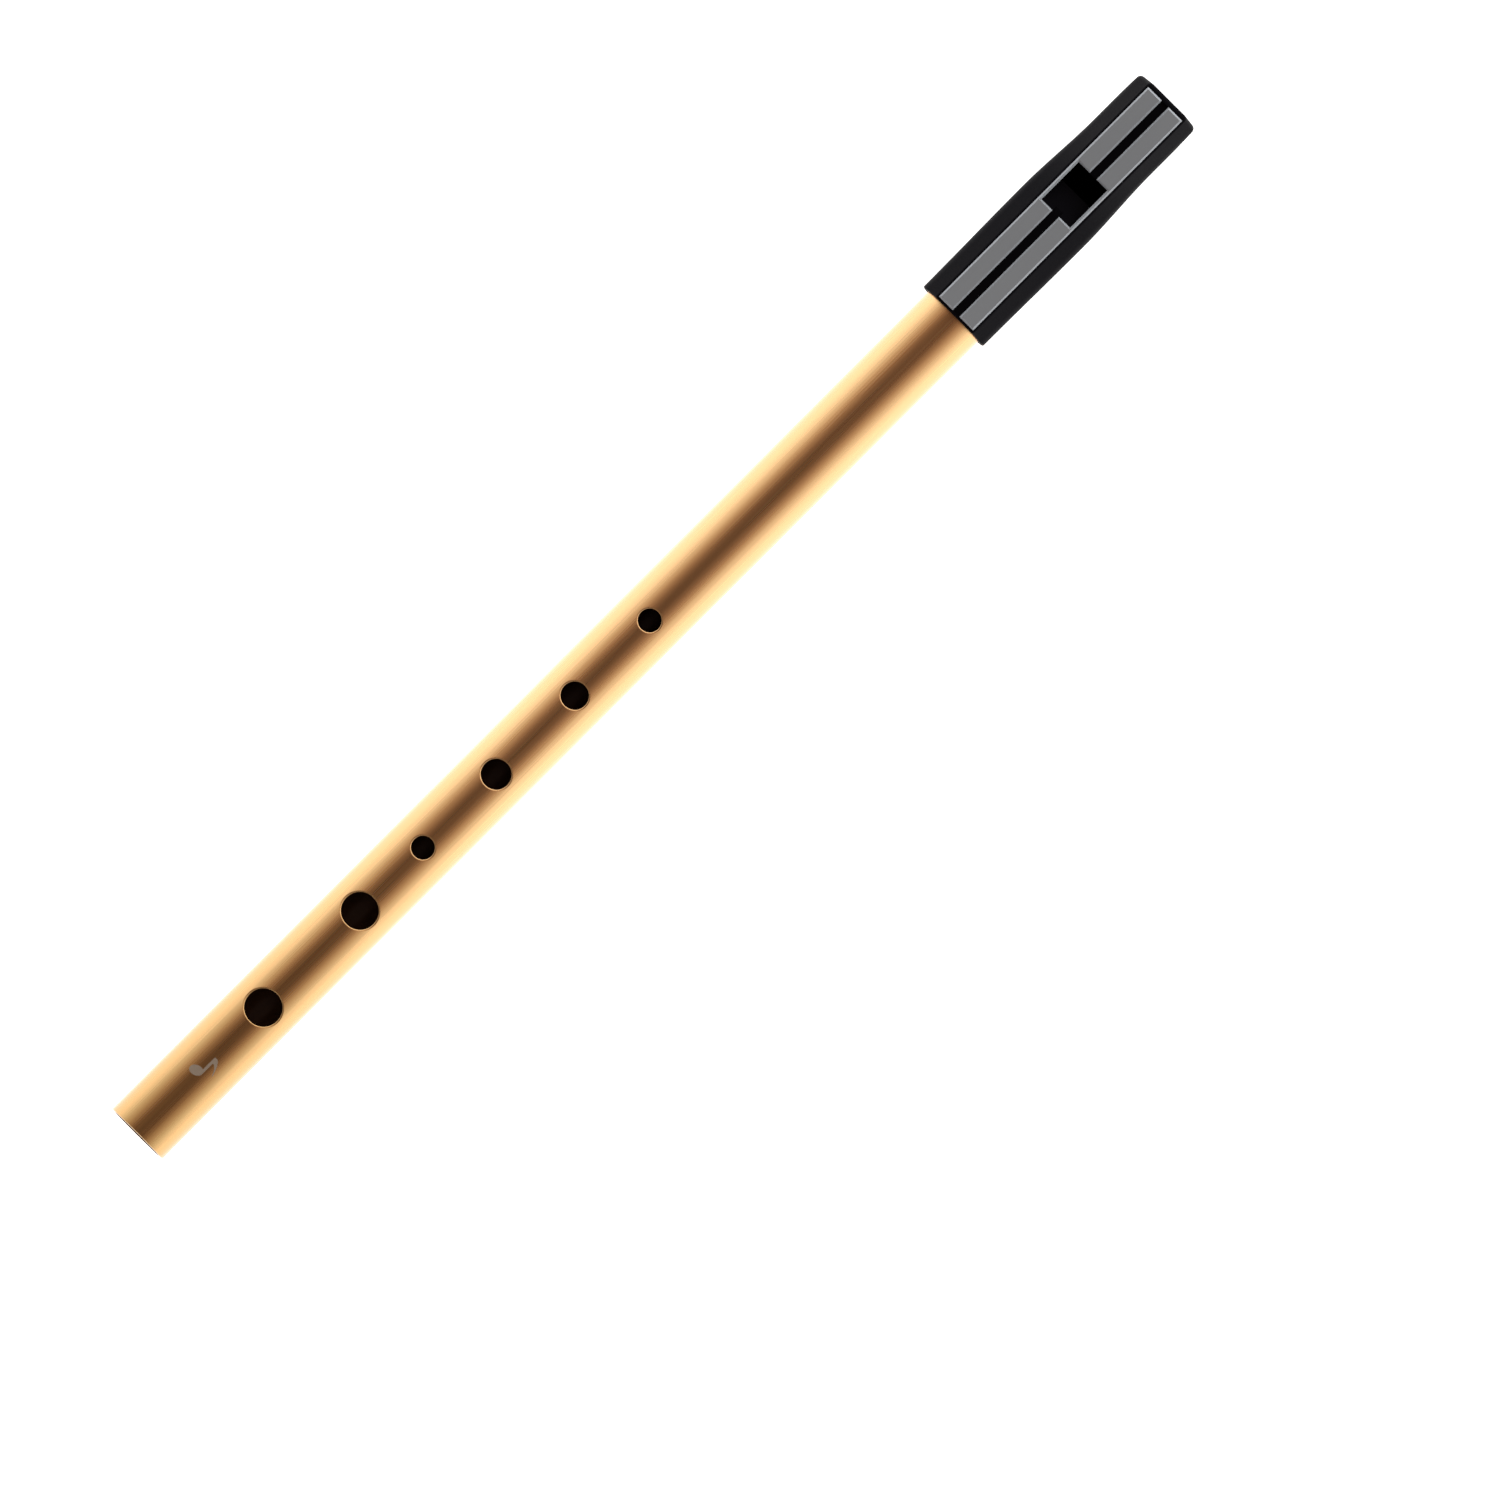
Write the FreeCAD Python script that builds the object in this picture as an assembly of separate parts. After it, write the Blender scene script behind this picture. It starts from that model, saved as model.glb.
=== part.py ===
"""Tin whistle: a gold aluminium tube with six finger holes and a black moulded mouthpiece.

Frame: the origin is the centre of the tube's open foot end, +X runs along the bore towards
the beak and +Z points up through the finger holes. All sizes are in millimetres.
"""

import os

import FreeCAD
import Part

# Tube
TUBE_OUTER_DIAMETER = 14.3
TUBE_WALL = 0.9
TUBE_EDGE_BREAK = 0.25
BLADE_TO_FOOT = 266.5
FINGER_HOLES = [  # distance from the foot, diameter
    (35.7, 7.6),
    (63.1, 7.5),
    (81.0, 4.7),
    (101.8, 6.1),
    (124.1, 5.6),
    (145.4, 4.7),
]
HOLE_EDGE_ROUND = 0.28

# Tuning joint, from the tube outwards
SLEEVE_TO_TUBE = 0.04
SLEEVE_WALL = 0.45
SLEEVE_TO_POCKET = 0.04
SLEEVE_LENGTH = 16.0
SLEEVE_END_GAP = 0.1
SOCKET_TO_TUBE = 0.08
SOCKET_LIP = 1.5
SOCKET_DEPTH = 24.0
SOCKET_ENTRY_CHAMFER = 0.3
TUNING_GAP = 3.0  # from the tube's end to the stop in the socket, at rest

# Mouthpiece, outside
SOCKET_WALL = 0.78  # over the sleeve pocket
SKIRT_LENGTH = 34.7  # from the socket's mouth to the blade
SWELL = 0.22  # how far the head widens towards the window
SWELL_BEFORE_BLADE = 6.0
WAIST = 0.5  # how far the beak is slimmer than the socket
WAIST_AFTER_WINDOW = 8.7
BEAK_LENGTH = 21.7
MOUTH_ROUND = 0.4
BEAK_ROUND = 1.1  # round the tip and along the rim of the cut below the beak
DECK_LEDGE = 0.33  # beside the rails
DECK_RISE = 0.3  # from the socket's crown to the flat deck
DECK_EDGE_ROUND = 0.4
DECK_EDGE_BEND = 0.45  # how far the rounding fills the corner, 0 for a plain chamfer
LOFT_SPANS = 16  # between cross-sections of the outside
LIP_HEIGHT = 0.6  # lower edge of the beak's tip, above the bore's axis
BEAK_CUT_AFTER_WINDOW = 2.0
BEAK_CUT_BOW = 1.3

# Window, blade and windway
WINDOW_WIDTH = 8.05
WINDOW_OPENING = 4.8
RAMP_LENGTH = 5.8
BLADE_THICKNESS = 0.25
WINDWAY_SIDE_STEP = 0.075  # from the window's side in to the windway's
WINDWAY_EXIT_HEIGHT = 1.0
WINDWAY_ENTRY_HEIGHT = 1.3
WINDWAY_BELOW_BLADE = 0.4  # floor of the windway, below the blade's underside
BLOCK_CLEARANCE = 0.02
BLOCK_CHAMFER = 0.3

# Rails on the deck
RAIL_PAIR_GAP = 1.9
RAIL_TO_WINDOW = 0.025
RAIL_WEB = 0.77  # beside the window
RAIL_HEIGHT = 0.45  # above the deck
RAIL_SEAT = 0.4  # below the deck
RAIL_CLEARANCE = 0.02
RAIL_BEVEL = 0.34
RAIL_FROM_MOUTH = 0.55
RAIL_FROM_TIP = 1.2
GROOVE_DEPTH = 0.45

# Places along the bore
TUBE_RADIUS = TUBE_OUTER_DIAMETER / 2
BORE_RADIUS = TUBE_RADIUS - TUBE_WALL
BLADE_X = BLADE_TO_FOOT
RAMP_X = BLADE_X - RAMP_LENGTH
WINDWAY_X = BLADE_X + WINDOW_OPENING
TIP_X = WINDWAY_X + BEAK_LENGTH
MOUTH_X = BLADE_X - SKIRT_LENGTH
STOP_X = MOUTH_X + SOCKET_DEPTH
TUBE_END_X = STOP_X - TUNING_GAP
SLEEVE_X = MOUTH_X + SOCKET_LIP + SLEEVE_END_GAP

# Distances from the plane of symmetry
WINDOW_SIDE = WINDOW_WIDTH / 2
WINDWAY_SIDE = WINDOW_SIDE - WINDWAY_SIDE_STEP
WEB_INNER = WINDOW_SIDE + RAIL_TO_WINDOW
RAIL_INNER = RAIL_PAIR_GAP / 2
RAIL_OUTER = WEB_INNER + RAIL_WEB
DECK_SIDE = RAIL_OUTER + DECK_LEDGE

# Radii and heights
SLEEVE_INNER = TUBE_RADIUS + SLEEVE_TO_TUBE
SLEEVE_OUTER = SLEEVE_INNER + SLEEVE_WALL
POCKET_RADIUS = SLEEVE_OUTER + SLEEVE_TO_POCKET
SOCKET_RADIUS = TUBE_RADIUS + SOCKET_TO_TUBE
HEAD_RADIUS = POCKET_RADIUS + SOCKET_WALL
SWELL_RADIUS = HEAD_RADIUS + SWELL
DECK_Z = HEAD_RADIUS + DECK_RISE
RAIL_TOP_Z = DECK_Z + RAIL_HEIGHT
BLADE_Z = BORE_RADIUS
WINDWAY_FLOOR_Z = BLADE_Z - WINDWAY_BELOW_BLADE

BEYOND = 1.0  # how far a cutting tool runs past what it cuts
X_AXIS = FreeCAD.Vector(1, 0, 0)
Y_AXIS = FreeCAD.Vector(0, 1, 0)
Z_AXIS = FreeCAD.Vector(0, 0, 1)


def vec(x, y, z):
    return FreeCAD.Vector(x, y, z)


def rod(radius, x_low, x_high):
    """A cylinder along the bore's axis."""
    return Part.makeCylinder(radius, x_high - x_low, vec(x_low, 0, 0), X_AXIS)


def box(x_low, x_high, half_width, z_low, z_high):
    """A block centred on the bore's plane of symmetry."""
    corner = vec(x_low, -half_width, z_low)
    return Part.makeBox(x_high - x_low, 2 * half_width, z_high - z_low, corner)


def prism(points_xz, half_width):
    """A side outline, drawn in the plane of symmetry and thickened both ways."""
    outline = Part.makePolygon([vec(x, -half_width, z) for x, z in points_xz + points_xz[:1]])
    return Part.Face(outline).extrude(vec(0, 2 * half_width, 0))


def edges_at_x(shape, x):
    """The edges that lie wholly in the plane at x."""
    box_of = [(edge, edge.BoundBox) for edge in shape.Edges]
    return [edge for edge, b in box_of if abs(b.XMin - x) < 1e-4 and abs(b.XMax - x) < 1e-4]


def whistle_tube():
    tube = rod(TUBE_RADIUS, 0, TUBE_END_X).cut(rod(BORE_RADIUS, -BEYOND, TUBE_END_X + BEYOND))
    ends = edges_at_x(tube, 0) + edges_at_x(tube, TUBE_END_X)
    outer_ends = [edge for edge in ends if edge.Curve.Radius > (TUBE_RADIUS + BORE_RADIUS) / 2]
    tube = tube.makeFillet(TUBE_EDGE_BREAK, outer_ends)
    for hole_x, hole_diameter in FINGER_HOLES:
        drill = Part.makeCylinder(hole_diameter / 2, TUBE_RADIUS + BEYOND, vec(hole_x, 0, 0), Z_AXIS)
        tube = tube.cut(drill)
    return tube.makeFillet(HOLE_EDGE_ROUND, [rim for rim in tube.Edges if is_hole_rim(rim)])


def is_hole_rim(edge):
    """A finger hole's rim lies on the tube's outside, above its axis, away from the ends."""
    b = edge.BoundBox
    clear_of_ends = b.XMin > BEYOND and b.XMax < TUBE_END_X - BEYOND
    on_outside = abs(b.ZMax - TUBE_RADIUS) < 1e-3
    return clear_of_ends and on_outside and b.XLength < TUBE_OUTER_DIAMETER


def tuning_sleeve():
    sleeve_end = SLEEVE_X + SLEEVE_LENGTH
    return rod(SLEEVE_OUTER, SLEEVE_X, sleeve_end).cut(
        rod(SLEEVE_INNER, SLEEVE_X - BEYOND, sleeve_end + BEYOND)
    )


def smooth_step(x, x_low, x_high):
    """0 before x_low, 1 after x_high, with no kink at either."""
    share = min(1.0, max(0.0, (x - x_low) / (x_high - x_low)))
    return share * share * (3 - 2 * share)


def head_radius(x):
    swell_x = BLADE_X - SWELL_BEFORE_BLADE
    swelling = SWELL * smooth_step(x, MOUTH_X, swell_x)
    slimming = (SWELL + WAIST) * smooth_step(x, swell_x, WINDWAY_X + WAIST_AFTER_WINDOW)
    return HEAD_RADIUS + swelling - slimming


def head_section(x):
    """Round below, with two flanks that leave the round at a tangent and rise to the flat deck."""
    radius = head_radius(x)
    corner = vec(x, DECK_SIDE, DECK_Z)
    reach = (corner.y**2 + corner.z**2) ** 0.5
    along = radius / reach  # cosine of the angle from the corner to the tangent point
    across = (1 - along**2) ** 0.5
    tangent_y = radius * (corner.y * along + corner.z * across) / reach
    tangent_z = radius * (corner.z * along - corner.y * across) / reach
    flank = vec(0, tangent_y - corner.y, tangent_z - corner.z).normalize()
    deck_end = vec(x, corner.y - DECK_EDGE_ROUND, DECK_Z)
    flank_end = corner + flank * DECK_EDGE_ROUND
    bend = (deck_end + flank_end) * 0.5
    bend = bend + (corner - bend) * DECK_EDGE_BEND
    tangent = vec(x, tangent_y, tangent_z)
    right = [
        Part.Arc(deck_end, bend, flank_end).toShape(),
        Part.makeLine(flank_end, tangent),
    ]
    left = [mirrored(edge) for edge in reversed(right)]
    under = Part.Arc(tangent, vec(x, 0, -radius), mirror_point(tangent)).toShape()
    deck = Part.makeLine(mirror_point(deck_end), deck_end)
    return Part.Wire(Part.__sortEdges__([deck, *right, under, *left]))


def mirror_point(point):
    return vec(point.x, -point.y, point.z)


def mirrored(shape):
    return shape.mirror(vec(0, 0, 0), Y_AXIS)


def head_envelope():
    """The mouthpiece's outside as one block, before anything is bored or cut in it."""
    step = (TIP_X - MOUTH_X) / LOFT_SPANS
    sections = [head_section(MOUTH_X + step * n) for n in range(LOFT_SPANS + 1)]
    head = Part.makeLoft(sections, True, False)
    head = head.makeFillet(MOUTH_ROUND, edges_at_x(head, MOUTH_X))
    head = head.cut(beak_cut())
    return head.makeFillet(BEAK_ROUND, edges_at_x(head, TIP_X) + beak_cut_rim(head))


def beak_cut():
    """What is taken away below the beak, along a hollow curve from the window to the lip."""
    half_width = SWELL_RADIUS + BEYOND
    start = vec(WINDWAY_X + BEAK_CUT_AFTER_WINDOW, -half_width, -SWELL_RADIUS)
    end = vec(TIP_X, -half_width, LIP_HEIGHT)
    run = end - start
    bow = vec(-run.z, 0, run.x).normalize() * BEAK_CUT_BOW
    curve = Part.Arc(start, (start + end) * 0.5 + bow, end).toShape()
    outside = Part.makePolygon(
        [end, end + X_AXIS * BEYOND, vec(TIP_X + BEYOND, -half_width, start.z - BEYOND)]
        + [vec(start.x, -half_width, start.z - BEYOND), start]
    )
    return Part.Face(Part.Wire([curve, *outside.Edges])).extrude(Y_AXIS * (2 * half_width))


def beak_cut_rim(head):
    """The long edge round the cut below the beak: past the window and no higher than the lip."""
    past_window = [edge for edge in head.Edges if edge.BoundBox.XMin > WINDWAY_X]
    low = [edge for edge in past_window if edge.BoundBox.ZMax < LIP_HEIGHT + 1e-3]
    return [edge for edge in low if edge.BoundBox.XLength > BEAK_LENGTH / 2]


def mouthpiece_shell(envelope):
    shell = envelope.cut(socket()).cut(voicing()).cut(windway())
    shell = shell.cut(groove())
    return shell.cut(rail_pair(RAIL_CLEARANCE, BEYOND))


def socket():
    """The stepped hole for the tube and its sleeve, then the bore on to the beak."""
    pocket_x = SLEEVE_X - SLEEVE_END_GAP
    pocket_end = SLEEVE_X + SLEEVE_LENGTH + SLEEVE_END_GAP
    entry_radius = SOCKET_RADIUS + SOCKET_ENTRY_CHAMFER
    entry = Part.makeCone(
        entry_radius, SOCKET_RADIUS, SOCKET_ENTRY_CHAMFER, vec(MOUTH_X, 0, 0), X_AXIS
    )
    hole = rod(SOCKET_RADIUS, MOUTH_X - BEYOND, STOP_X)
    hole = hole.fuse(rod(POCKET_RADIUS, pocket_x, pocket_end))
    hole = hole.fuse(rod(BORE_RADIUS, STOP_X - BEYOND, TIP_X + BEYOND))
    return hole.fuse(entry)


def voicing():
    """The window, the flat roof under the blade and the ramp that leaves the blade's thin edge."""
    above = RAIL_TOP_Z + BEYOND
    window = box(BLADE_X, WINDWAY_X, WINDOW_SIDE, 0, above)
    flat_roof = box(RAMP_X, WINDWAY_X, WINDOW_SIDE, 0, BLADE_Z)
    edge_z = BLADE_Z + BLADE_THICKNESS
    ramp = prism(
        [(BLADE_X, edge_z), (BLADE_X, above), (RAMP_X, above), (RAMP_X, DECK_Z)], WINDOW_SIDE
    )
    return window.fuse(flat_roof).fuse(ramp)


def windway():
    """The slot above the block. Its roof drops a little from the beak's tip to the window."""
    exit_z = WINDWAY_FLOOR_Z + WINDWAY_EXIT_HEIGHT
    entry_z = WINDWAY_FLOOR_Z + WINDWAY_ENTRY_HEIGHT
    side = [(WINDWAY_X, 0), (WINDWAY_X, exit_z), (TIP_X, entry_z), (TIP_X + BEYOND, entry_z)]
    return prism(side + [(TIP_X + BEYOND, 0)], WINDWAY_SIDE)


def groove():
    return box(
        MOUTH_X + RAIL_FROM_MOUTH,
        TIP_X - RAIL_FROM_TIP,
        RAIL_INNER,
        DECK_Z - GROOVE_DEPTH,
        DECK_Z + BEYOND,
    )


def windway_block(envelope):
    """The plug that fills the beak's bore. Its flat top is the floor of the windway."""
    plug = rod(BORE_RADIUS - BLOCK_CLEARANCE, WINDWAY_X, TIP_X + BEYOND)
    key = box(WINDWAY_X, TIP_X + BEYOND, WINDWAY_SIDE - BLOCK_CLEARANCE, 0, WINDWAY_FLOOR_Z)
    above_floor = box(
        WINDWAY_X - BEYOND, TIP_X + 2 * BEYOND, BORE_RADIUS, WINDWAY_FLOOR_Z, DECK_Z
    )
    plug = plug.fuse(key).cut(above_floor)
    chamfer = prism(
        [
            (WINDWAY_X, WINDWAY_FLOOR_Z - BLOCK_CHAMFER),
            (WINDWAY_X, WINDWAY_FLOOR_Z),
            (WINDWAY_X + BLOCK_CHAMFER, WINDWAY_FLOOR_Z),
        ],
        BORE_RADIUS,
    )
    return plug.cut(chamfer).common(envelope)


def rail(clearance, top_extra):
    """The rail on the +Y side: wide, then a thin web beside the window, then wide again."""
    inner, web, outer = RAIL_INNER - clearance, WEB_INNER - clearance, RAIL_OUTER + clearance
    low, high = MOUTH_X + RAIL_FROM_MOUTH - clearance, TIP_X - RAIL_FROM_TIP + clearance
    plan = [
        (low, inner),
        (RAMP_X + clearance, inner),
        (RAMP_X + clearance, web),
        (WINDWAY_X - clearance, web),
        (WINDWAY_X - clearance, inner),
        (high, inner),
        (high, outer),
        (low, outer),
    ]
    seat_z = DECK_Z - RAIL_SEAT - clearance
    outline = Part.makePolygon([vec(x, y, seat_z) for x, y in plan + plan[:1]])
    return Part.Face(outline).extrude(vec(0, 0, RAIL_TOP_Z + top_extra - seat_z))


def rail_pair(clearance, top_extra):
    one = rail(clearance, top_extra)
    return one.fuse(mirrored(one))


def left_rail():
    body = rail(0, 0)
    top = [edge for edge in body.Edges if edge.BoundBox.ZMin > RAIL_TOP_Z - 1e-4]
    return body.makeChamfer(RAIL_BEVEL, top)


def main():
    os.makedirs("parts", exist_ok=True)
    envelope = head_envelope()
    nodes = {
        "whistle_tube": whistle_tube(),
        "tuning_sleeve": tuning_sleeve(),
        "mouthpiece_shell": mouthpiece_shell(envelope),
        "windway_block": windway_block(envelope),
        "left_rail": left_rail(),
        "right_rail": mirrored(left_rail()),
    }
    for name, shape in nodes.items():
        solids = shape.Solids
        print(f"{name}: {len(solids)} solid, {shape.Volume:.1f} mm3, valid {shape.isValid()}")
        solids[0].exportStep(f"parts/{name}.step")


main()
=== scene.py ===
"""Tin whistle in its finishes: gold anodised tube, black moulded mouthpiece, grey rails."""

import math

import bmesh
import bpy
from mathutils import Matrix, Vector


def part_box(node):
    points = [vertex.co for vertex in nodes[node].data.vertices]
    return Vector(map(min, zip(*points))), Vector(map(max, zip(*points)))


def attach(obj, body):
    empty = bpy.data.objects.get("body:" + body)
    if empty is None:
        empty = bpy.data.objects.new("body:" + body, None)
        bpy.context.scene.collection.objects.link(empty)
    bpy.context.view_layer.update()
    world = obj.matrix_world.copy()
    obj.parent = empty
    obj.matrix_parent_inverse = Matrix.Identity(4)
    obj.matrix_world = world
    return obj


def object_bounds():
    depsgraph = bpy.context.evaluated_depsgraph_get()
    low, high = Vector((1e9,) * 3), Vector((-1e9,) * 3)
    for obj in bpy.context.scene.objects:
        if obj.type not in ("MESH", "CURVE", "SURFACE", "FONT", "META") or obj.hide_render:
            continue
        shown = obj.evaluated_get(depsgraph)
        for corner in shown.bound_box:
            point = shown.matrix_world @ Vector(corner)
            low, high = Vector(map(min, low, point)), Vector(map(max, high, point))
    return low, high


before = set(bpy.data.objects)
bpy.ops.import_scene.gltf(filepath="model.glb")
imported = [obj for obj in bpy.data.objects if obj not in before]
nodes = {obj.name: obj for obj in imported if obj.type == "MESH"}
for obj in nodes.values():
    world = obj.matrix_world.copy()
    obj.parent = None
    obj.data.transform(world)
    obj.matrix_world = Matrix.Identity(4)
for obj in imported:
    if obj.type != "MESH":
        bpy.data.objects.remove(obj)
cad_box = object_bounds()
scene = bpy.context.scene
mm = 0.001

# ---------------------------------------------------------------------------------------
# Whistle tube. Drawn aluminium tube, blasted to a fine satin and dyed gold in the
# anodising bath after the finger holes are drilled, so their rims take the same colour.
# ---------------------------------------------------------------------------------------


def new_material(name):
    """A material with only a Principled BSDF and its output."""
    material = bpy.data.materials.new(name)
    material.use_nodes = True
    tree = material.node_tree
    return material, tree, tree.nodes["Principled BSDF"]


def new_group(name, inputs, outputs):
    """A shader node group with the given named sockets, and its two ends."""
    group = bpy.data.node_groups.new(name, "ShaderNodeTree")
    for label, kind, default in inputs:
        socket = group.interface.new_socket(label, in_out="INPUT", socket_type=kind)
        socket.default_value = default
    for label, kind in outputs:
        group.interface.new_socket(label, in_out="OUTPUT", socket_type=kind)
    return group, group.nodes.new("NodeGroupInput"), group.nodes.new("NodeGroupOutput")


def place(tree, kind, **settings):
    """A new node with its settings."""
    node = tree.nodes.new(kind)
    for key, value in settings.items():
        setattr(node, key, value)
    return node


def place_group(tree, group, values):
    """A node group put in a tree with its own values."""
    node = place(tree, "ShaderNodeGroup", node_tree=group)
    for label, value in values.items():
        node.inputs[label].default_value = value
    return node


def feed(tree, target, source):
    """Set a socket from another socket or from a plain value."""
    if isinstance(source, bpy.types.NodeSocket):
        tree.links.new(source, target)
    else:
        target.default_value = source


def maths(tree, operation, first, second=0.0, third=0.0):
    """The result of a sum on sockets or plain values."""
    node = place(tree, "ShaderNodeMath", operation=operation)
    feed(tree, node.inputs[0], first)
    feed(tree, node.inputs[1], second)
    feed(tree, node.inputs[2], third)
    return node.outputs[0]


def spread(tree, value, from_low, from_high, to_low, to_high):
    """A value's range laid over another, held at both ends."""
    node = place(tree, "ShaderNodeMapRange")
    feed(tree, node.inputs["Value"], value)
    feed(tree, node.inputs["From Min"], from_low)
    feed(tree, node.inputs["From Max"], from_high)
    feed(tree, node.inputs["To Min"], to_low)
    feed(tree, node.inputs["To Max"], to_high)
    return node.outputs["Result"]


def blend(tree, share, first, second):
    """Two colours mixed."""
    node = place(tree, "ShaderNodeMix", data_type="RGBA")
    feed(tree, node.inputs["Factor"], share)
    feed(tree, node.inputs["A"], first)
    feed(tree, node.inputs["B"], second)
    return node.outputs["Result"]


def noise(tree, where, stretch, scale, detail):
    """Noise drawn out along an axis where the stretch on that axis is small."""
    squeeze = place(tree, "ShaderNodeVectorMath", operation="MULTIPLY")
    feed(tree, squeeze.inputs[0], where)
    squeeze.inputs[1].default_value = stretch
    pattern = place(tree, "ShaderNodeTexNoise")
    feed(tree, pattern.inputs["Vector"], squeeze.outputs[0])
    feed(tree, pattern.inputs["Scale"], scale)
    pattern.inputs["Detail"].default_value = detail
    return pattern.outputs["Fac"]


# Blasted grain, faint drawing lines along the tube and a slow drift in the dye.
blasted_metal, start, end = new_group(
    "blasted_metal",
    [
        ("Dye", "NodeSocketColor", (0.9, 0.5, 0.2, 1)),
        ("Lighter Tone", "NodeSocketColor", (0.95, 0.6, 0.3, 1)),
        ("Smooth", "NodeSocketFloat", 0.3),
        ("Rough", "NodeSocketFloat", 0.4),
    ],
    [
        ("Color", "NodeSocketColor"),
        ("Roughness", "NodeSocketFloat"),
        ("Height", "NodeSocketFloat"),
    ],
)
where = place(blasted_metal, "ShaderNodeTexCoord").outputs["Object"]
drift = noise(blasted_metal, where, (0.25, 1, 1), 60.0, 3)
lines = noise(blasted_metal, where, (0.01, 1, 1), 2600.0, 2)
grain = noise(blasted_metal, where, (1, 1, 1), 9000.0, 2)
colour = blend(blasted_metal, drift, start.outputs["Dye"], start.outputs["Lighter Tone"])
feed(blasted_metal, end.inputs["Color"], colour)
smooth_to_rough = (start.outputs["Smooth"], start.outputs["Rough"])
roughness = spread(blasted_metal, lines, 0.2, 0.8, *smooth_to_rough)
feed(blasted_metal, end.inputs["Roughness"], roughness)
feed(blasted_metal, end.inputs["Height"], maths(blasted_metal, "MULTIPLY_ADD", lines, 0.4, grain))

# Where on the tube a point is: out on its skin or down the unpolished bore, whose dark
# colour is painted shade, and how far along it lies from the foot, towards which it darkens.
tube_place, start, end = new_group(
    "tube_place",
    [
        ("Bore Radius", "NodeSocketFloat", 6.3 * mm),
        ("Skin Radius", "NodeSocketFloat", 7.0 * mm),
        ("Tone Blend Length", "NodeSocketFloat", 110 * mm),
    ],
    [("Skin", "NodeSocketFloat"), ("Lighter Tone", "NodeSocketFloat")],
)
split = place(tube_place, "ShaderNodeSeparateXYZ")
where = place(tube_place, "ShaderNodeTexCoord").outputs["Object"]
feed(tube_place, split.inputs[0], where)
y_squared = maths(tube_place, "MULTIPLY", split.outputs["Y"], split.outputs["Y"])
z_squared = maths(tube_place, "MULTIPLY", split.outputs["Z"], split.outputs["Z"])
radius = maths(tube_place, "SQRT", maths(tube_place, "ADD", y_squared, z_squared))
limits = (start.outputs["Bore Radius"], start.outputs["Skin Radius"])
feed(tube_place, end.inputs["Skin"], spread(tube_place, radius, *limits, 0.0, 1.0))
toward_head = spread(tube_place, split.outputs["X"], 0.0, start.outputs["Tone Blend Length"], 0.0, 1.0)
feed(tube_place, end.inputs["Lighter Tone"], toward_head)

gold, tree, surface = new_material("gold_anodised")
foot_end = place_group(
    tree, blasted_metal, {"Dye": (0.65, 0.36, 0.12, 1), "Lighter Tone": (0.69, 0.385, 0.132, 1)}
)
head_end = place_group(
    tree,
    blasted_metal,
    {
        "Dye": (0.87, 0.485, 0.20, 1),
        "Lighter Tone": (0.91, 0.515, 0.22, 1),
        "Smooth": 0.25,
        "Rough": 0.32,
    },
)
position = place_group(
    tree,
    tube_place,
    {"Bore Radius": 6.6 * mm, "Skin Radius": 6.9 * mm, "Tone Blend Length": 110 * mm},
)
skin = position.outputs["Skin"]
# The colour is darkest at the foot and reaches the head end's colour 110 mm along.
dye = blend(
    tree, position.outputs["Lighter Tone"], foot_end.outputs["Color"], head_end.outputs["Color"]
)
# Painted shade: the bore and the inner part of the hole walls take a far darker colour than the
# skin, standing in for the shade inside the tube; their higher roughness is the unpolished bore.
bore_shade_colour, bore_roughness = (0.17, 0.085, 0.04, 1), 0.6
feed(tree, surface.inputs["Base Color"], blend(tree, skin, bore_shade_colour, dye))
roughness = spread(tree, skin, 0.0, 1.0, bore_roughness, head_end.outputs["Roughness"])
feed(tree, surface.inputs["Roughness"], roughness)
surface.inputs["Metallic"].default_value = 1.0
surface.inputs["Coat Weight"].default_value = 1.0
surface.inputs["Coat Roughness"].default_value = 0.25
relief = place(tree, "ShaderNodeBump")
relief.inputs["Strength"].default_value = 0.1
relief.inputs["Distance"].default_value = 0.02 * mm
feed(tree, relief.inputs["Height"], head_end.outputs["Height"])
feed(tree, surface.inputs["Normal"], relief.outputs["Normal"])
nodes["whistle_tube"].material_slots[0].material = gold

# ---------------------------------------------------------------------------------------
# Pitch mark. A plain quaver near the foot, burned by laser through the dye to the grey
# metal under it. It is a plate thinner than a hair, wrapped on the tube.
# ---------------------------------------------------------------------------------------
tube_low, tube_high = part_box("whistle_tube")
tube_radius = (tube_high.z - tube_low.z) / 2
mark_top, mark_root = 0.02, -0.03  # mm above the tube's skin, and below it

# Its outline, in mm across the tube and along it from the foot: once round the leaning
# head, up the stem's left side, out and back along the flag, and down the right side.
head_across, head_along = -0.65, 17.3
head_long, head_short, head_lean = 1.5, 1.05, math.radians(22)
stem_left, stem_right, stem_top = 0.19, 0.79, 21.8
flag_reach, flag_drop, flag_root, flag_tip = 1.75, 2.5, 0.62, 0.2
flag_out_curve, flag_down_curve = 0.8, 1.5
head_points, flag_points = 64, 12
outline = []
for n in range(head_points):
    turn = -2 * math.pi * n / head_points
    u = head_long * math.cos(turn)
    v = head_short * math.sin(turn)
    across = head_across + u * math.cos(head_lean) - v * math.sin(head_lean)
    along = head_along + u * math.sin(head_lean) + v * math.cos(head_lean)
    if across < stem_left or along < head_along:
        outline.append((across, along))
outline += [(stem_left, stem_top), (stem_right, stem_top)]
flag = []
for n in range(1, flag_points + 1):
    share = n / flag_points
    middle = stem_top - flag_root - flag_drop * share**flag_down_curve
    half = flag_root + (flag_tip - flag_root) * share
    flag.append((stem_right + flag_reach * share**flag_out_curve, middle, half))
outline += [(across, middle + half) for across, middle, half in flag]
outline += [(across, middle - half) for across, middle, half in reversed(flag)]
outline.append((stem_right, stem_top - 2 * flag_root))

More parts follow.
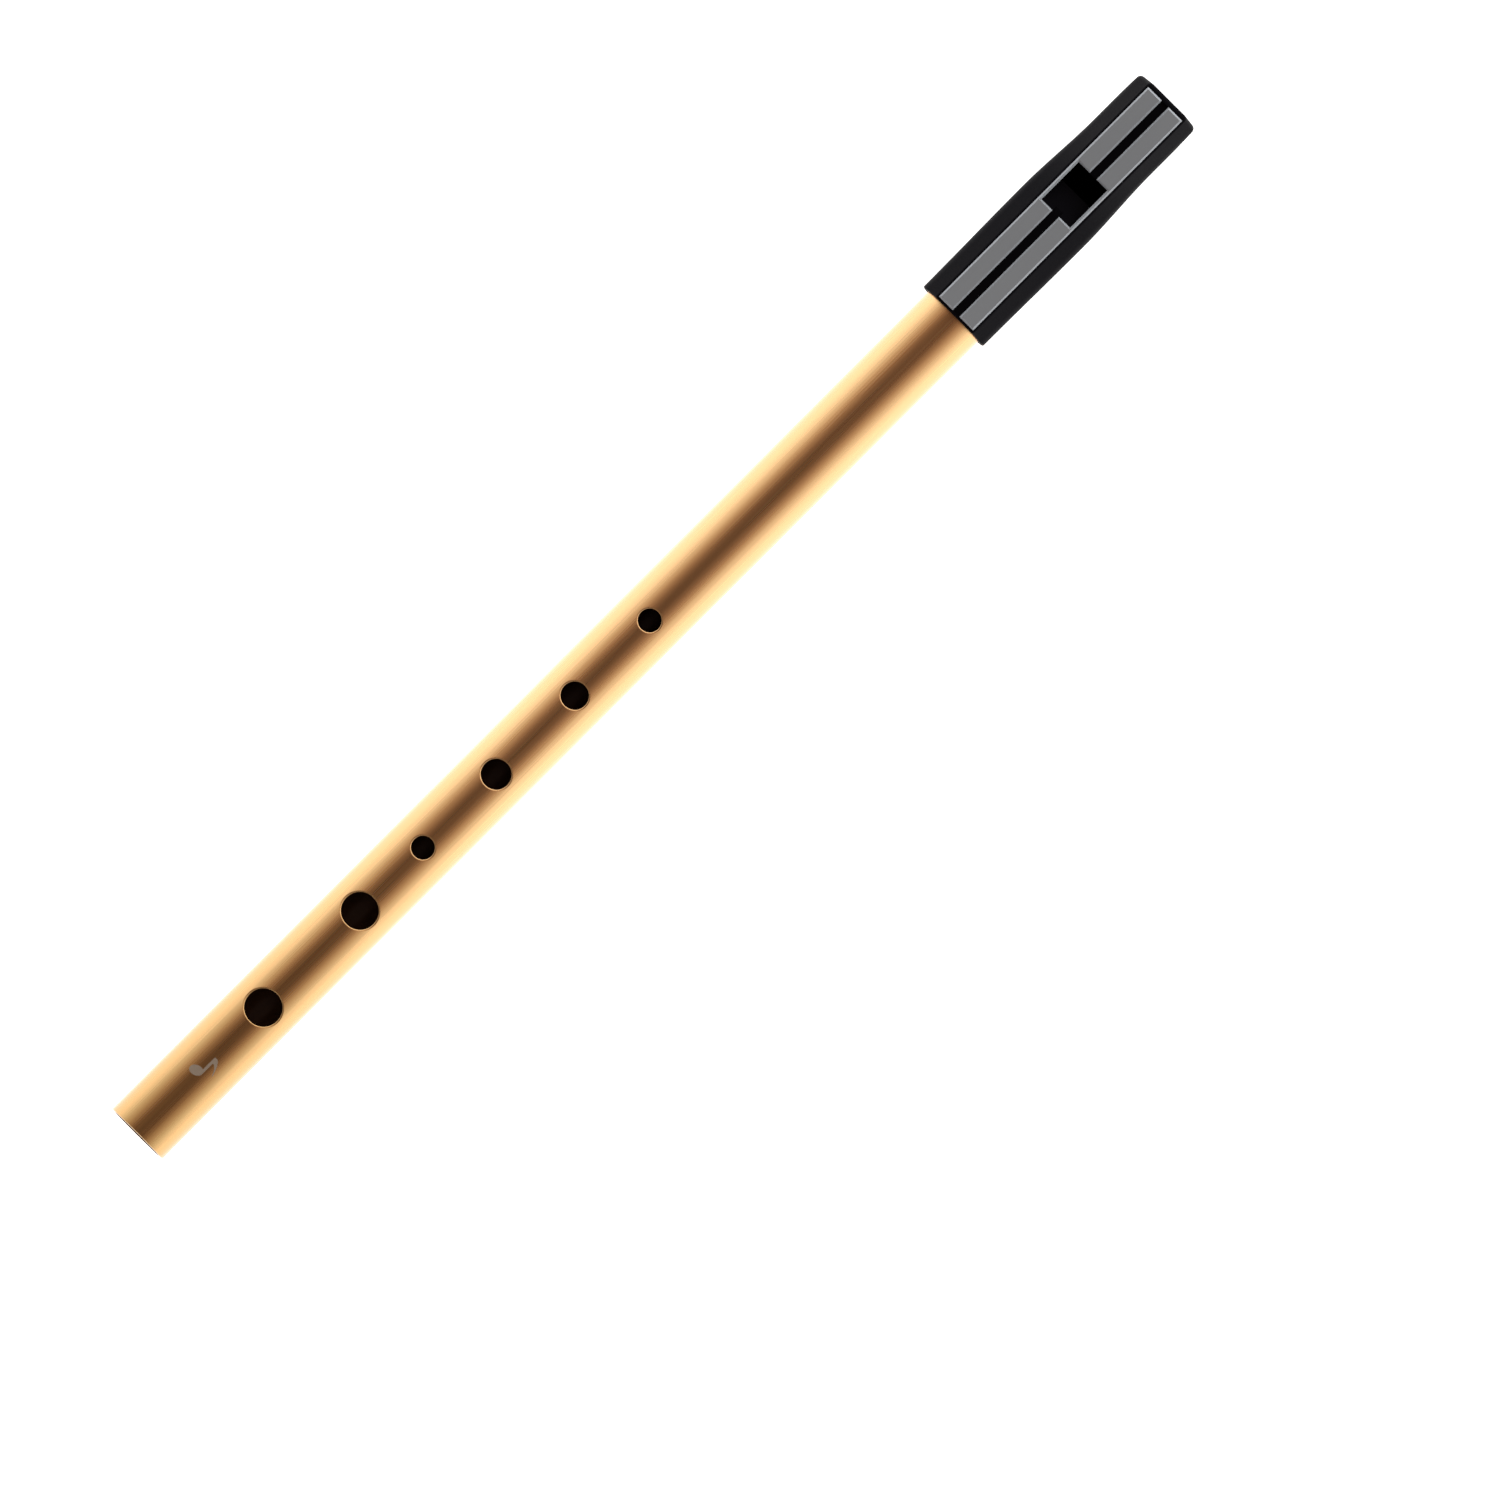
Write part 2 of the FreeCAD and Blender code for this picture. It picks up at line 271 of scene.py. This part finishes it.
# The flat plate, cut into narrow strips so that it can bend, then wrapped on the tube.
strip = 0.3
plate = bmesh.new()
face = plate.faces.new([plate.verts.new((across, along, mark_root)) for across, along in outline])
upper = bmesh.ops.extrude_face_region(plate, geom=[face], use_keep_orig=True)["geom"]
for corner in upper:
    if isinstance(corner, bmesh.types.BMVert):
        corner.co.z = mark_top
first_strip = math.ceil(min(across for across, along in outline) / strip)
last_strip = math.floor(max(across for across, along in outline) / strip)
for n in range(first_strip, last_strip + 1):
    everything = plate.verts[:] + plate.edges[:] + plate.faces[:]
    bmesh.ops.bisect_plane(plate, geom=everything, plane_co=(strip * n, 0, 0), plane_no=(1, 0, 0))
bmesh.ops.triangulate(plate, faces=plate.faces[:])
bmesh.ops.recalc_face_normals(plate, faces=plate.faces[:])

# Corners and faces are put in one fixed order, because the cuts leave them in any order.
corners = sorted(plate.verts, key=lambda corner: tuple(corner.co))
order = {corner: n for n, corner in enumerate(corners)}
faces = []
for face in plate.faces:
    ring = [order[corner] for corner in face.verts]
    first = ring.index(min(ring))
    faces.append(ring[first:] + ring[:first])
wrapped = []
for corner in corners:
    across, along, lift = corner.co * mm
    turn = across / tube_radius
    out = tube_radius + lift
    wrapped.append((along, -out * math.sin(turn), out * math.cos(turn)))
plate.free()
mark_mesh = bpy.data.meshes.new("pitch_mark")
mark_mesh.from_pydata(wrapped, [], sorted(faces))
mark = bpy.data.objects.new("pitch_mark", mark_mesh)
scene.collection.objects.link(mark)

burned, tree, surface = new_material("laser_burned")
finish = place_group(
    tree,
    blasted_metal,
    {
        "Dye": (0.33, 0.25, 0.19, 1),
        "Lighter Tone": (0.42, 0.33, 0.255, 1),
        "Smooth": 0.55,
        "Rough": 0.75,
    },
)
relief = place(tree, "ShaderNodeBump")
relief.inputs["Strength"].default_value = 0.3
relief.inputs["Distance"].default_value = 0.02 * mm
feed(tree, surface.inputs["Base Color"], finish.outputs["Color"])
feed(tree, surface.inputs["Roughness"], finish.outputs["Roughness"])
feed(tree, relief.inputs["Height"], finish.outputs["Height"])
feed(tree, surface.inputs["Normal"], relief.outputs["Normal"])
mark_mesh.materials.append(burned)
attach(mark, "tube")

# ---------------------------------------------------------------------------------------
# Tuning sleeve. A thin slippery plastic liner in the socket, which the tube rubs along.
# It is moulded, and held in a pocket by its own spring.
# ---------------------------------------------------------------------------------------

# Moulded plastic: a fine grain from the mould and a slow change in its gloss.
moulded, start, end = new_group(
    "moulded",
    [
        ("Body", "NodeSocketColor", (0.5, 0.5, 0.5, 1)),
        ("Flow", "NodeSocketColor", (0.6, 0.6, 0.6, 1)),
        ("Glossy", "NodeSocketFloat", 0.3),
        ("Dull", "NodeSocketFloat", 0.5),
        ("Grain Scale", "NodeSocketFloat", 4000),
    ],
    [
        ("Color", "NodeSocketColor"),
        ("Roughness", "NodeSocketFloat"),
        ("Height", "NodeSocketFloat"),
    ],
)
where = place(moulded, "ShaderNodeTexCoord").outputs["Object"]
flow = noise(moulded, where, (0.3, 1, 1), 90.0, 4)
fine = noise(moulded, where, (1, 1, 1), start.outputs["Grain Scale"], 3)
colour = blend(moulded, flow, start.outputs["Body"], start.outputs["Flow"])
feed(moulded, end.inputs["Color"], colour)
glossy_to_dull = (start.outputs["Glossy"], start.outputs["Dull"])
feed(moulded, end.inputs["Roughness"], spread(moulded, flow, 0.2, 0.8, *glossy_to_dull))
feed(moulded, end.inputs["Height"], fine)

# Bevels round a flat top, found by how steeply the surface leans; they get a painted highlight.
bevel_highlight_mask, start, end = new_group(
    "bevel_highlight_mask",
    [("Flat", "NodeSocketFloat", 0.96), ("Upright", "NodeSocketFloat", 0.3)],
    [("Bevel", "NodeSocketFloat")],
)
split = place(bevel_highlight_mask, "ShaderNodeSeparateXYZ")
feed(bevel_highlight_mask, split.inputs[0], place(bevel_highlight_mask, "ShaderNodeTexCoord").outputs["Normal"])
below_flat = maths(bevel_highlight_mask, "LESS_THAN", split.outputs["Z"], start.outputs["Flat"])
above_upright = maths(bevel_highlight_mask, "GREATER_THAN", split.outputs["Z"], start.outputs["Upright"])
feed(bevel_highlight_mask, end.inputs["Bevel"], maths(bevel_highlight_mask, "MULTIPLY", below_flat, above_upright))


def moulded_plastic(name, bump, ior, values, bevel_highlight=None):
    """A moulded plastic in its own colours, with a lighter painted highlight on bevels if one is
    given.
    """
    material, tree, surface = new_material(name)
    finish = place_group(tree, moulded, values)
    body = finish.outputs["Color"]
    if bevel_highlight:
        slope = place_group(tree, bevel_highlight_mask, {"Flat": 0.96, "Upright": 0.3})
        body = blend(tree, slope.outputs["Bevel"], body, bevel_highlight)
    relief = place(tree, "ShaderNodeBump")
    relief.inputs["Strength"].default_value = bump
    relief.inputs["Distance"].default_value = 0.03 * mm
    surface.inputs["IOR"].default_value = ior
    feed(tree, surface.inputs["Base Color"], body)
    feed(tree, surface.inputs["Roughness"], finish.outputs["Roughness"])
    feed(tree, relief.inputs["Height"], finish.outputs["Height"])
    feed(tree, surface.inputs["Normal"], relief.outputs["Normal"])
    return material


nodes["tuning_sleeve"].material_slots[0].material = moulded_plastic(
    "slippery_white",
    0.05,
    1.5,
    {
        "Body": (0.72, 0.71, 0.67, 1),
        "Flow": (0.78, 0.77, 0.74, 1),
        "Glossy": 0.3,
        "Dull": 0.42,
        "Grain Scale": 3000,
    },
)

# ---------------------------------------------------------------------------------------
# Mouthpiece shell and windway block. Black ABS, moulded; the block is pressed into the
# beak and trimmed flush with it.
# ---------------------------------------------------------------------------------------
black = moulded_plastic(
    "black_abs",
    0.15,
    1.05,
    {
        "Body": (0.0042, 0.0040, 0.0055, 1),
        "Flow": (0.0061, 0.0056, 0.0076, 1),
        "Glossy": 0.36,
        "Dull": 0.48,
        "Grain Scale": 5000,
    },
)
nodes["mouthpiece_shell"].material_slots[0].material = black
nodes["windway_block"].material_slots[0].material = black

# ---------------------------------------------------------------------------------------
# Rails. Two cool grey plastic strips with bevelled edges, moulded apart and glued into
# seats in the deck, one each side of the window.
# ---------------------------------------------------------------------------------------
# Painted highlight: the rails' bevels are coloured a lighter, bluer grey than their flat tops.
grey = moulded_plastic(
    "moulded_grey",
    0.1,
    1.5,
    {
        "Body": (0.314, 0.335, 0.367, 1),
        "Flow": (0.333, 0.355, 0.388, 1),
        "Glossy": 0.3,
        "Dull": 0.4,
        "Grain Scale": 5000,
    },
    bevel_highlight=(0.415, 0.44, 0.483, 1),
)
nodes["left_rail"].material_slots[0].material = grey
nodes["right_rail"].material_slots[0].material = grey

# ---------------------------------------------------------------------------------------
# Studio. A white lit table, and soft light from all round the horizon that fades to dark
# overhead and is stronger from the beak's side. The camera itself sees plain white.
# ---------------------------------------------------------------------------------------
low, high = cad_box
reach = 3.0
corners = [(-reach, -reach), (reach, -reach), (reach, reach), (-reach, reach)]
floor_mesh = bpy.data.meshes.new("floor")
floor_mesh.from_pydata([(x, y, low.z) for x, y in corners], [], [(0, 1, 2, 3)])
floor = bpy.data.objects.new("floor", floor_mesh)
scene.collection.objects.link(floor)
table, tree, surface = new_material("lit_table")
surface.inputs["Base Color"].default_value = (0.85, 0.85, 0.85, 1)
surface.inputs["Roughness"].default_value = 0.9
surface.inputs["Specular IOR Level"].default_value = 0.0
surface.inputs["Emission Color"].default_value = (1, 1, 1, 1)
surface.inputs["Emission Strength"].default_value = 1.15
floor_mesh.materials.append(table)

sky = bpy.data.worlds.new("sky")
scene.world = sky
sky.use_nodes = True
tree = sky.node_tree
light = tree.nodes["Background"]
split = place(tree, "ShaderNodeSeparateXYZ")
feed(tree, split.inputs[0], place(tree, "ShaderNodeTexCoord").outputs["Generated"])
fade = place(tree, "ShaderNodeValToRGB")
feed(tree, fade.inputs["Fac"], split.outputs["Z"])
stops = [
    (0.0, (0.93, 0.97, 1.0, 1)),
    (0.35, (0.62, 0.68, 0.69, 1)),
    (0.6, (0.44, 0.41, 0.37, 1)),
    (0.75, (0.31, 0.25, 0.21, 1)),
    (0.9, (0.145, 0.097, 0.078, 1)),
    (1.0, (0.045, 0.032, 0.028, 1)),
]
while len(fade.color_ramp.elements) < len(stops):
    fade.color_ramp.elements.new(0.5)
for element, (position, colour) in zip(fade.color_ramp.elements, stops):
    element.position = position
    element.color = colour
feed(tree, light.inputs["Color"], fade.outputs["Color"])
feed(tree, light.inputs["Strength"], spread(tree, split.outputs["X"], -1.0, 1.0, 0.3, 2.7))
plain = place(tree, "ShaderNodeBackground")
plain.inputs["Color"].default_value = (1, 1, 1, 1)
choice = place(tree, "ShaderNodeMixShader")
feed(tree, choice.inputs["Fac"], place(tree, "ShaderNodeLightPath").outputs["Is Camera Ray"])
feed(tree, choice.inputs[1], light.outputs["Background"])
feed(tree, choice.inputs[2], plain.outputs["Background"])
feed(tree, tree.nodes["World Output"].inputs["Surface"], choice.outputs["Shader"])

# Camera: above on a long lens, a little towards the foot, with the beak up to the right.
lean = math.radians(45.06)
tilt = math.radians(1.9)
along = Vector((math.cos(tilt), 0, math.sin(tilt)))
across = Vector((0, 1, 0))
back = Vector((-math.sin(tilt), 0, math.cos(tilt)))
right = along * math.cos(lean) - across * math.sin(lean)
up = along * math.sin(lean) + across * math.cos(lean)
picture_width = 301 * mm
middle = Vector(((low.x + high.x) / 2, 0, 0))
aim = middle + right * (19.5 * mm) - up * (26.6 * mm)
camera_data = bpy.data.cameras.new("camera")
camera_data.lens = 1500
camera = bpy.data.objects.new("camera", camera_data)
scene.collection.objects.link(camera)
distance = picture_width * camera_data.lens / camera_data.sensor_width
camera.location = aim + back * distance
camera.rotation_euler = Matrix((right, up, back)).transposed().to_euler()
camera_data.clip_start = 0.05
camera_data.clip_end = 60
scene.camera = camera
scene.view_settings.view_transform = "Standard"
